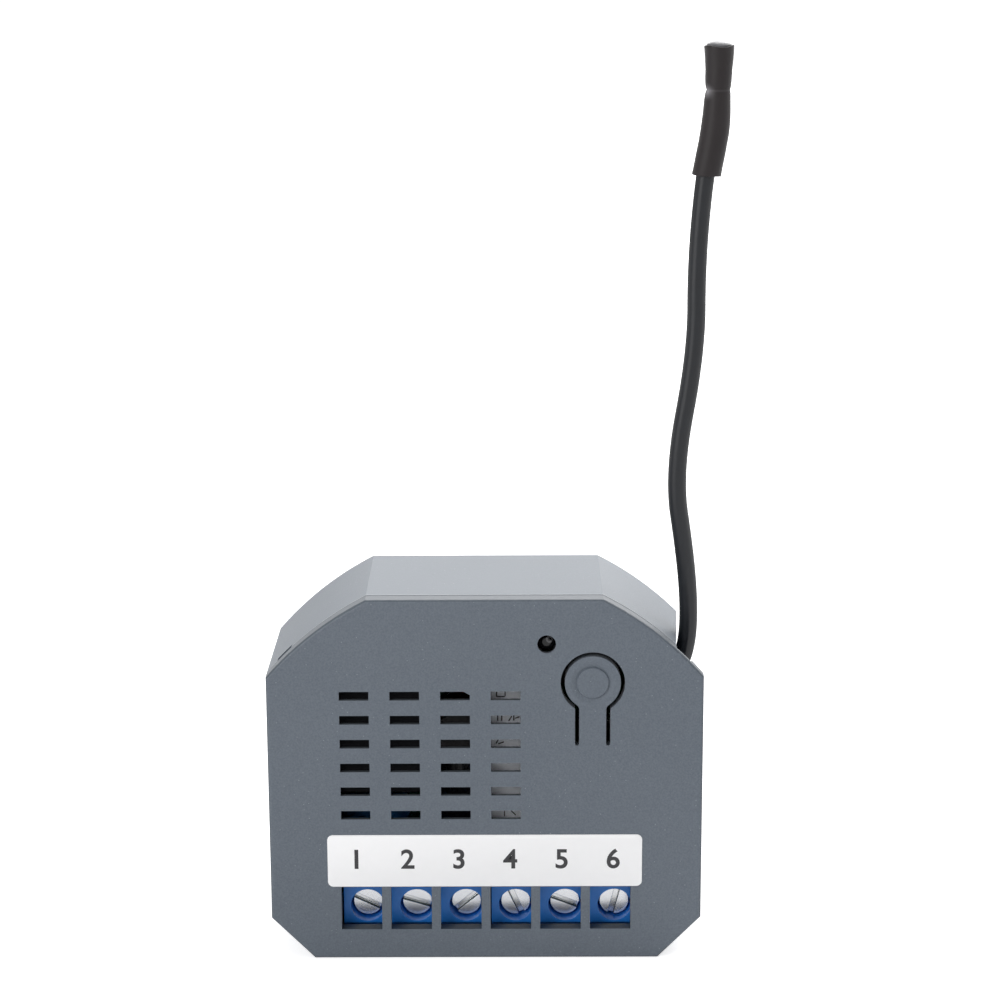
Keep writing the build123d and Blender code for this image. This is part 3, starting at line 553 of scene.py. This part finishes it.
bpy.ops.mesh.select_all(action="SELECT")
bpy.ops.mesh.normals_make_consistent(inside=False)
pick_edges(lambda edge: all(v.co.y < label_low.y + 2 * film_spare for v in edge.verts))
bpy.ops.mesh.bevel(offset=film_ease, segments=2)
bpy.ops.object.mode_set(mode="OBJECT")
bpy.ops.object.shade_smooth_by_angle(angle=math.radians(30))
label_film = mottled("label_film", 1400, 2, ((0.93, 0.93, 0.935), (0.96, 0.96, 0.965)),
                     roughness=(0.4, 0.1), bump=(0.1, 0.01 * mm), fixed={"IOR": 1.46})
fit(label, "terminal_label_shown", label_film, "label_film", "housing", "terminal_label")

print_ink, tone, shader = new_finish("print_ink", {"Roughness": 0.5})
place = tone.node("TexCoord", output="Object")
sweep = tone.node("TexNoise", {"Vector": place, "Scale": 1500, "Detail": 2})
tone.feed(shader, {"Base Color": sweep.between((0.025, 0.025, 0.027), (0.045, 0.045, 0.048))})
poles = range(1, 7)
print_height, print_rise, print_pitch, print_left = 2.85, 3.0, 5.14, -12.95
print_thick, print_bold, print_sunk, half_digit = 0.006 * mm, 0.055 * mm, 0.007 * mm, 0.36
for number in poles:
    bpy.ops.object.select_all(action="DESELECT")
    bpy.ops.object.text_add()
    digit = bpy.context.object
    digit.data.body = str(number)
    digit.data.size = print_height * mm
    digit.data.align_x = "CENTER"
    digit.data.extrude, digit.data.offset = print_thick, print_bold
    bpy.ops.object.convert(target="MESH")
    digit.data.transform(Matrix.Rotation(math.pi / 2, 4, "X"))
    digit.data.transform(Matrix.Translation((
        (print_left + (number - 1) * print_pitch) * mm, label_low.y + print_sunk,
        label_low.z + (print_rise - half_digit * print_height) * mm)))
    fit(digit, f"label_number_{number}", print_ink, "label_film", "housing")


def copied(piece, placing):
    """A copy of a piece with its own mesh, which the matrix sets in place."""
    copy = piece.copy()
    copy.data = piece.data.copy()
    bpy.context.collection.objects.link(copy)
    copy.data.transform(placing)
    return copy


# Terminal screws. Zinc plated steel with a flat slotted head; turning one moves
# its cage along the thread. One screw is made, then copied into each well.
screw_low, screw_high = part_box("terminal_screw_1")
head_radius, head_thick, head_ease = 1.475 * mm, 1.3 * mm, 0.1 * mm
slot_wide, slot_deep, slot_proud = 0.6 * mm, 0.5 * mm, 0.0005 * mm
shank_radius, thread_depth, thread_pitch = 1.25 * mm, 0.16 * mm, 0.45 * mm
thread_root = shank_radius - thread_depth
shank_long = screw_high.y - screw_low.y - head_thick
shank_end, shank_lap = -head_thick - shank_long, 0.02 * mm
bpy.ops.object.select_all(action="DESELECT")
bpy.ops.mesh.primitive_cylinder_add(vertices=72, radius=head_radius, depth=head_thick,
                                    location=(0, 0, -head_thick / 2))
screw = bpy.context.object
bpy.ops.object.transform_apply(location=True)
bpy.ops.mesh.primitive_cube_add(size=1, location=(0, 0, slot_proud - slot_deep / 2))
cutter = bpy.context.object
cutter.scale = (4 * head_radius, slot_wide, slot_deep)
bpy.ops.object.transform_apply(location=True, scale=True)
alone(screw)
cut = screw.modifiers.new("slot", "BOOLEAN")
cut.object, cut.solver = cutter, "EXACT"
bpy.ops.object.modifier_apply(modifier=cut.name)
bpy.data.objects.remove(cutter)
eased = screw.modifiers.new("rims", "BEVEL")
eased.width, eased.segments, eased.angle_limit = head_ease, 3, math.radians(50)
bpy.ops.object.modifier_apply(modifier=eased.name)
bpy.ops.object.mode_set(mode="EDIT")
bpy.ops.mesh.select_all(action="DESELECT")
bpy.ops.mesh.primitive_circle_add(vertices=36, radius=thread_root, fill_type="NGON",
                                  location=(0, 0, shank_end))
bpy.ops.mesh.extrude_region_move(
    TRANSFORM_OT_translate={"value": (0, 0, shank_long + shank_lap)})
bpy.ops.mesh.select_all(action="SELECT")
bpy.ops.mesh.normals_make_consistent(inside=False)
bpy.ops.object.mode_set(mode="OBJECT")
ridge = bpy.data.meshes.new("ridge")
ridge.from_pydata(
    [(thread_root, 0, shank_end + thread_pitch * 0.1),
     (shank_radius, 0, shank_end + thread_pitch * 0.5),
     (thread_root, 0, shank_end + thread_pitch * 0.9)],
    [(0, 1), (1, 2)], [])
thread = bpy.data.objects.new("thread", ridge)
bpy.context.collection.objects.link(thread)
alone(thread)
wound = thread.modifiers.new("turns", "SCREW")
wound.steps = wound.render_steps = 28
wound.screw_offset = thread_pitch
wound.iterations = int(shank_long / thread_pitch - 1)
wound.use_merge_vertices, wound.merge_threshold = True, 0.002 * mm
bpy.ops.object.modifier_apply(modifier=wound.name)
screw.select_set(True)
bpy.context.view_layer.objects.active = screw
bpy.ops.object.join()
smooth(screw, 35)
# The slot's two side walls are marked, so that the finish can paint shade on them.
shade = screw.data.attributes.new("slot_shade", "FLOAT", "FACE")
slack, upright = 0.01 * mm, 0.7
for face in screw.data.polygons:
    between_walls = abs(face.center.y) < slot_wide / 2 + slack
    below_top = -slot_deep - slack < face.center.z < -2 * slack
    shade.data[face.index].value = between_walls * below_top * (abs(face.normal.y) > upright)

zinc, tone, shader = new_finish("zinc_screw", {"Metallic": 0.75})
place = tone.node("TexCoord", output="Object")
drawn = tone.node("Mapping", {"Vector": place, "Scale": (1, 0.2, 1)})
brushed = tone.node("TexNoise", {"Vector": drawn, "Scale": 2600, "Detail": 3})
cloud = tone.node("TexNoise", {"Vector": place, "Scale": 700, "Detail": 2})
bright = cloud.between((0.92, 0.95, 0.97), (1.0, 1.0, 1.0))
# The slot's side walls are painted dark teal: painted shade in the slot.
slot_wall_painted_shade = tone.node("Attribute", output="Fac", attribute_name="slot_shade")
tone.feed(shader, {
    "Base Color": slot_wall_painted_shade.between(bright, (0.015, 0.045, 0.055)),
    "Roughness": brushed * 0.14 + 0.15,
})
slot_angles = (-26, -17, 40, -66, -21, 76)
for number, angle in enumerate(slot_angles, start=1):
    low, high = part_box(f"terminal_screw_{number}")
    placing = (Matrix.Translation(((low.x + high.x) / 2, low.y, (low.z + high.z) / 2))
               @ Matrix.Rotation(math.pi / 2, 4, "X")
               @ Matrix.Rotation(math.radians(angle), 4, "Z"))
    fit(copied(screw, placing), f"screw_{number}_shown", zinc, "zinc_screw", f"screw_{number}",
        f"terminal_screw_{number}")
bpy.data.objects.remove(screw)


def dress(node, width, finish, slot, body="housing", angle=40, segments=2):
    """Sets an eased copy of a node in the node's place, in its finish. The slot is not used."""
    fit(eased_copy(node, width, angle, segments), f"{node}_shown", finish, slot, body, node)


# Terminal blocks. Glossy blue plastic, three poles each, with round wells for
# the screws and funnels for the wires; every moulded edge is a little rounded.
terminal_blue = mottled("terminal_blue", 240, 3, ((0.013, 0.16, 0.57), (0.024, 0.23, 0.76)),
                        roughness=(0.26, 0.16), bump=(0.2, 0.05 * mm))
for half in ("left", "right"):
    dress(f"terminal_block_{half}", 0.07, terminal_blue, "terminal_blue")

# Clamp cages and contacts. The cages are folded nickel plated steel, and the
# contact bars in them are tinned brass with a leg soldered into the board.
nickel = mottled("cage_metal", 800, 4, ((0.5, 0.5, 0.47), (0.68, 0.67, 0.64)),
                 roughness=(0.2, 0.25), bump=(0.2, 0.01 * mm), fixed={"Metallic": 1.0})
tinned = mottled("contact_brass", 1200, 4, ((0.56, 0.53, 0.45), (0.7, 0.68, 0.62)),
                 roughness=(0.25, 0.25), fixed={"Metallic": 1.0})
for number in poles:
    dress(f"clamp_cage_{number}", 0.06, nickel, "cage_metal", body=f"cage_{number}")
    dress(f"terminal_contact_{number}", 0.05, tinned, "contact_brass")

# Main board. Green glass fibre board that carries everything; lacquered tracks
# run under its surface.
solder_mask, tone, shader = new_finish("circuit_board")
place = tone.node("TexCoord", output="Object")
laid = tone.node("Mapping", {"Vector": place, "Rotation": (math.pi / 2, 0, 0)})
weave = tone.node("TexNoise", {"Vector": place, "Scale": 4000, "Detail": 1})
tracks = tone.node("SeparateColor", {0: tone.node("TexBrick", {
    "Vector": laid, "Scale": 420.0, "Mortar Size": 0.14, "Brick Width": 1.7, "Row Height": 0.6,
    "Color1": (0, 0, 0, 1), "Color2": (0.25, 0.25, 0.25, 1), "Mortar": (1, 1, 1, 1)})})
mask_green = weave.between((0.006, 0.07, 0.03), (0.01, 0.1, 0.045))
tone.feed(shader, {
    "Base Color": tracks.between(mask_green, (0.02, 0.17, 0.075)),
    "Roughness": weave * 0.1 + 0.28,
    "Normal": tone.node("Bump", {"Height": tracks, "Strength": 0.4, "Distance": 0.03 * mm}),
})
dress("main_board", 0.04, solder_mask, "circuit_board")

# Solder joints. A small cone of tin round the leg of each contact, on the back
# of the board. One is made, then copied to each leg.
board_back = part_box("main_board")[1].y
joint_radius, joint_rise, joint_ease, joint_drop = 0.95 * mm, 0.55 * mm, 0.12 * mm, 0.3 * mm
joint_top = 0.35 * joint_radius
bpy.ops.object.select_all(action="DESELECT")
bpy.ops.mesh.primitive_cone_add(
    vertices=24, radius1=joint_radius, radius2=joint_top, depth=joint_rise,
    location=(0, joint_rise / 2, 0), rotation=(-math.pi / 2, 0, 0))
joint = bpy.context.object
bpy.ops.object.transform_apply(location=True, rotation=True)
bpy.ops.object.mode_set(mode="EDIT")
pick_edges(lambda edge: len(edge.link_faces) == 2 and edge.calc_face_angle() > 0.3
           and abs(edge.verts[0].co.y - edge.verts[1].co.y) < 0.001 * mm)
bpy.ops.mesh.bevel(offset=joint_ease, segments=3)
bpy.ops.object.mode_set(mode="OBJECT")
bpy.ops.object.shade_smooth_by_angle(angle=math.radians(60))
solder = mottled("solder", 1500, 3, ((0.58, 0.58, 0.57), (0.75, 0.75, 0.74)),
                 roughness=(0.2, 0.2), fixed={"Metallic": 1.0})
for number in poles:
    low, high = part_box(f"terminal_contact_{number}")
    placing = Matrix.Translation(((low.x + high.x) / 2, board_back, high.z - joint_drop))
    fit(copied(joint, placing), f"solder_joint_{number}", solder, "contact_brass", "housing")
bpy.data.objects.remove(joint)

# Power relay. A sealed box of grey plastic with rounded corners, on pins in the
# board. Its face shows through the right column of vents and has plain ticks.
relay_grey, tone, shader = new_finish("relay_plastic")
place = tone.node("TexCoord", output="Object")
turned_place = tone.node("Mapping", {"Vector": place, "Rotation": (0, 0.6, 0)})
flow = tone.node("TexNoise", {"Vector": place, "Scale": 300, "Detail": 4})
scratch = tone.node("TexWave", {
    "Vector": turned_place, "Scale": 300.0, "Distortion": 6.0, "Detail": 3.0})
tone.feed(shader, {
    "Base Color": flow.between((0.82, 0.85, 0.92), (0.92, 0.94, 0.98)),
    "Roughness": flow * 0.2 + 0.32,
    "Normal": tone.node("Bump", {"Height": scratch, "Strength": 0.12, "Distance": 0.03 * mm}),
})
dress("power_relay", 0.06, relay_grey, "relay_plastic")
relay_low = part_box("power_relay")[0]
tick_wide, tick_thick, tick_ease, tick_proud = 0.12 * mm, 0.04 * mm, 0.012 * mm, 0.012 * mm
ticks = [             # place across from the relay's left edge, height, length and turn
    (0.75, 27.55, 0.5, 90),
    (1.15, 27.3, 0.9, 0),
    (1.6, 27.6, 0.5, 90),
    (0.85, 25.05, 0.6, 90),
    (1.25, 25.05, 0.6, 90),
    (2.1, 25.0, 0.6, 60),
    (2.45, 25.1, 0.6, 90),
    (2.8, 25.1, 0.5, 20),
    (0.8, 22.6, 0.5, 60),
    (1.2, 22.45, 0.6, 20),
    (1.5, 15.0, 0.7, 90),
    (1.85, 15.3, 0.7, 0),
    (2.35, 15.05, 0.8, -45),
]
for number, (across, up, length, turned) in enumerate(ticks, start=1):
    bpy.ops.object.select_all(action="DESELECT")
    bpy.ops.mesh.primitive_cube_add(size=1)
    tick = bpy.context.object
    tick.scale = (length * mm, tick_thick, tick_wide)
    tick.rotation_euler = (0, -math.radians(turned), 0)
    tick.location = (relay_low.x + across * mm, relay_low.y - tick_proud, up * mm)
    bpy.ops.object.transform_apply(location=True, rotation=True, scale=True)
    bpy.ops.object.mode_set(mode="EDIT")
    bpy.ops.mesh.select_all(action="SELECT")
    bpy.ops.mesh.bevel(offset=tick_ease, segments=1)
    bpy.ops.object.mode_set(mode="OBJECT")
    fit(tick, f"relay_tick_{number}", print_ink, "relay_plastic", "housing")

# Filter choke. A black ferrite drum with a neck between two flanges; enamelled
# copper wire is wound round the neck, and its outer turns show.
ferrite = mottled("ferrite", 2600, 4, ((0.014, 0.014, 0.015), (0.05, 0.05, 0.052)),
                  roughness=(0.5, 0.2), bump=(0.5, 0.03 * mm))
dress("choke_core", 0.12, ferrite, "ferrite")
coil_low, coil_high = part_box("choke_winding")
strand, strand_room, strand_clear = 0.15 * mm, 2.05, 1.1
coil_radius = (coil_high.x - coil_low.x) / 2 - strand
coil_long = coil_high.y - coil_low.y
coil_turns = int(coil_long / (strand_room * strand)) - 1
coil_pitch = (coil_long - 2 * strand_clear * strand) / coil_turns
bpy.ops.object.select_all(action="DESELECT")
bpy.ops.mesh.primitive_circle_add(vertices=8, radius=strand, location=(coil_radius, 0, 0),
                                  rotation=(math.pi / 2, 0, 0))
coil = bpy.context.object
bpy.ops.object.transform_apply(location=True, rotation=True)
wound = coil.modifiers.new("turns", "SCREW")
wound.steps = wound.render_steps = 40
wound.screw_offset, wound.iterations = coil_pitch, coil_turns
wound.use_merge_vertices, wound.merge_threshold = True, 0.001 * mm
bpy.ops.object.modifier_apply(modifier=wound.name)
bpy.ops.object.mode_set(mode="EDIT")
bpy.ops.mesh.select_all(action="DESELECT")
bpy.ops.mesh.select_non_manifold()
bpy.ops.mesh.edge_face_add()
bpy.ops.mesh.primitive_cylinder_add(
    vertices=40, radius=coil_radius, depth=coil_pitch * coil_turns,
    location=(0, 0, coil_pitch * coil_turns / 2))
bpy.ops.mesh.select_all(action="SELECT")
bpy.ops.mesh.normals_make_consistent(inside=False)
bpy.ops.object.mode_set(mode="OBJECT")
coil_middle = (coil_low + coil_high) / 2
coil.data.transform(
    Matrix.Translation((coil_middle.x, coil_low.y + strand_clear * strand, coil_middle.z))
    @ Matrix.Rotation(-math.pi / 2, 4, "X"))
bpy.ops.object.shade_smooth_by_angle(angle=math.radians(50))
copper = mottled("copper_wire", 500, 3, ((0.42, 0.1, 0.045), (0.7, 0.2, 0.09)),
                 roughness=(0.22, 0.15),
                 fixed={"Metallic": 1.0, "Coat Weight": 0.6, "Coat Roughness": 0.1})
fit(coil, "choke_winding_shown", copper, "copper_wire", "housing", "choke_winding")

# Filter capacitor. An aluminium can in a shrunk black film, lying on the board;
# a pale stripe along its right side marks one of its legs.
film_black, tone, shader = new_finish("capacitor_sleeve")
place = tone.node("TexCoord", output="Object")
can_low, can_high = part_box("filter_capacitor")
can_middle = (can_low.x + can_high.x) / 2
stripe_start, stripe_end = 1.2 * mm, 2.1 * mm
stripe = tone.node("SeparateXYZ", {0: place}, output="X").within(
    can_middle + stripe_start, can_middle + stripe_end)
sheen = tone.node("TexNoise", {"Vector": place, "Scale": 500, "Detail": 2})
film = sheen.between((0.008, 0.009, 0.014), (0.02, 0.02, 0.03))
tone.feed(shader, {
    "Base Color": stripe.between(film, (0.3, 0.31, 0.33)),
    "Roughness": sheen * 0.12 + 0.22,
    "Normal": tone.node("Bump", {"Height": sheen, "Strength": 0.25, "Distance": 0.05 * mm}),
})
dress("filter_capacitor", 0.08, film_black, "capacitor_sleeve", angle=30)

# Fuse resistor. A flameproof body with four plain colour bands, which stands on
# the board at the supply's input.
lacquer, tone, shader = new_finish("resistor_coating")
place = tone.node("TexCoord", output="Object")
fuse_low, fuse_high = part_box("fuse_resistor")
fuse_long = fuse_high.y - fuse_low.y
along = (tone.node("SeparateXYZ", {0: place}, output="Y") * (1 / fuse_long)
         + (-fuse_low.y / fuse_long))
speckle = tone.node("TexNoise", {"Vector": place, "Scale": 1800, "Detail": 3})
painted = speckle.between((0.05, 0.16, 0.1), (0.08, 0.24, 0.15))
band_share = 0.07
bands = [             # start as a share of the body's length, and colour
    (0.2, (0.25, 0.09, 0.02)),
    (0.36, (0.01, 0.01, 0.01)),
    (0.52, (0.01, 0.01, 0.01)),
    (0.74, (0.45, 0.33, 0.08)),
]
for start, colour in bands:
    painted = along.within(start, start + band_share).between(painted, colour)
tone.feed(shader, {
    "Base Color": painted,
    "Roughness": speckle * 0.2 + 0.5,
    "Normal": tone.node("Bump", {"Height": speckle, "Strength": 0.4, "Distance": 0.03 * mm}),
})
dress("fuse_resistor", 0.1, lacquer, "resistor_coating", angle=30)

# Surge varistor. A zinc oxide disc that stands on edge across the supply. It is
# dipped in blue lacquer, which rounds its rim.
dipped = mottled("varistor_coating", 700, 3, ((0.03, 0.16, 0.42), (0.06, 0.27, 0.6)),
                 roughness=(0.25, 0.2), bump=(0.5, 0.08 * mm))
dress("surge_varistor", 0.3, dipped, "varistor_coating", angle=30, segments=3)

# Power converter. A black plastic cup that holds the supply's parts, filled
# with potting resin.
potted = mottled("potting_black", 2400, 3, ((0.008, 0.009, 0.012), (0.018, 0.02, 0.026)),
                 roughness=(0.4, 0.2), bump=(0.3, 0.02 * mm), fixed={"Specular IOR Level": 0.2})
dress("power_converter", 0.15, potted, "potting_black")

# Radio module. A small board of the same make as the main one, with a drawn tin
# can soldered over its chips.
tin = mottled("shield_tin", 600, 4, ((0.56, 0.56, 0.55), (0.72, 0.72, 0.7)),
              roughness=(0.24, 0.2), bump=(0.2, 0.02 * mm), fixed={"Metallic": 1.0})
dress("radio_module", 0.04, solder_mask, "circuit_board")
dress("radio_shield", 0.12, tin, "shield_tin")

# Status light. A round clear lens on two legs, unlit. Its colour is painted
# near black, painted shade that makes it look dark behind its hole, and a
# faint pale ring painted at one side is a painted highlight on the lens.
lens, tone, shader = new_finish("led_lens", {"Specular IOR Level": 0.35})
place = tone.node("TexCoord", output="Object")
led_low, led_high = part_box("status_led")
# The pale ring is a painted highlight, set off the lens's middle towards one side.
ring_aside, ring_inner, ring_outer = 0.3 * mm, 0.17 * mm, 0.36 * mm
painted_glint_middle = ((led_low.x + led_high.x) / 2 + ring_aside, led_low.y,
               (led_low.z + led_high.z) / 2 + ring_aside)
off_middle = tone.node("VectorMath", {0: place, 1: painted_glint_middle}, output="Value",
                       operation="DISTANCE")
cloud = tone.node("TexNoise", {"Vector": place, "Scale": 900, "Detail": 2})
dark_lens_painted_shade = cloud.between((0.002, 0.002, 0.003), (0.01, 0.01, 0.012))
tone.feed(shader, {
    "Base Color": off_middle.within(ring_inner, ring_outer).between(dark_lens_painted_shade, (0.1, 0.1, 0.105)),
    "Roughness": cloud * 0.1 + 0.06,
})
dress("status_led", 0.1, lens, "led_lens", angle=30, segments=4)

# Push switch. A block of black moulded plastic on the board under the button,
# with a plunger that the button's boss pushes in.
switch_black = mottled("switch_plastic", 2600, 2, ((0.012, 0.012, 0.013), (0.028, 0.028, 0.03)),
                       roughness=(0.35, 0.15), bump=(0.2, 0.02 * mm))
dress("tact_switch", 0.06, switch_black, "switch_plastic")
dress("tact_plunger", 0.06, switch_black, "switch_plastic", body="plunger", angle=30)
